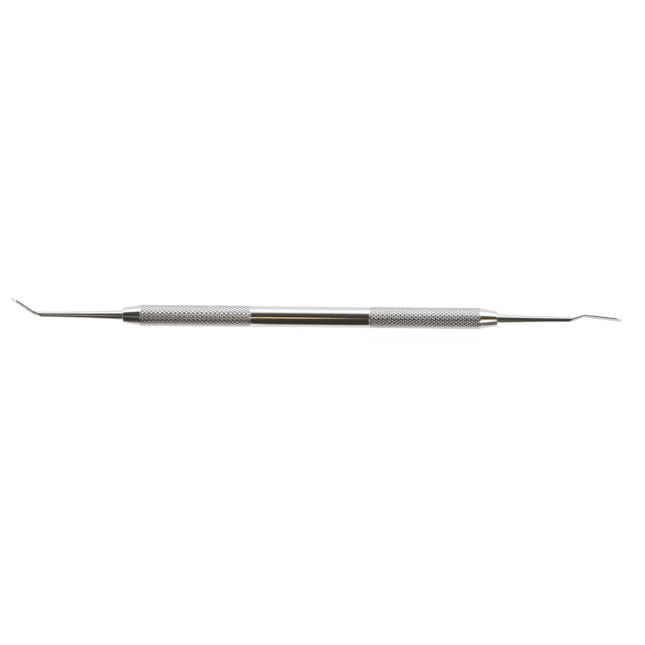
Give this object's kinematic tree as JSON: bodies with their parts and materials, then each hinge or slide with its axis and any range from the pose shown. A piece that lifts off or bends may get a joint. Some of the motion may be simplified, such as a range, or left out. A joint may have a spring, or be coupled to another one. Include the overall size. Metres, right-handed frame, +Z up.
{
  "type": "plastic filling instrument",
  "caption": "Double-ended dental hand instrument with a knurled steel handle, a flat blade bent at an elbow on one end and an offset flat blade on the other.",
  "frame": {"origin": "centre of the instrument's box in X and Y, on the surface that it lies on", "axes": "+X along the handle towards the offset working end, +Z up from the surface that it lies on, +Y towards the side that both blades bend to"},
  "size_m": [0.1804, 0.008, 0.0063],
  "materials": {
    "turned_steel": "polished stainless steel with diamond knurling",
    "forged_steel": "polished stainless steel"
  },
  "bodies": {
    "root": {"knurled_handle": "turned_steel", "angled_working_end": "forged_steel", "offset_working_end": "forged_steel"}
  },
  "joints": []
}
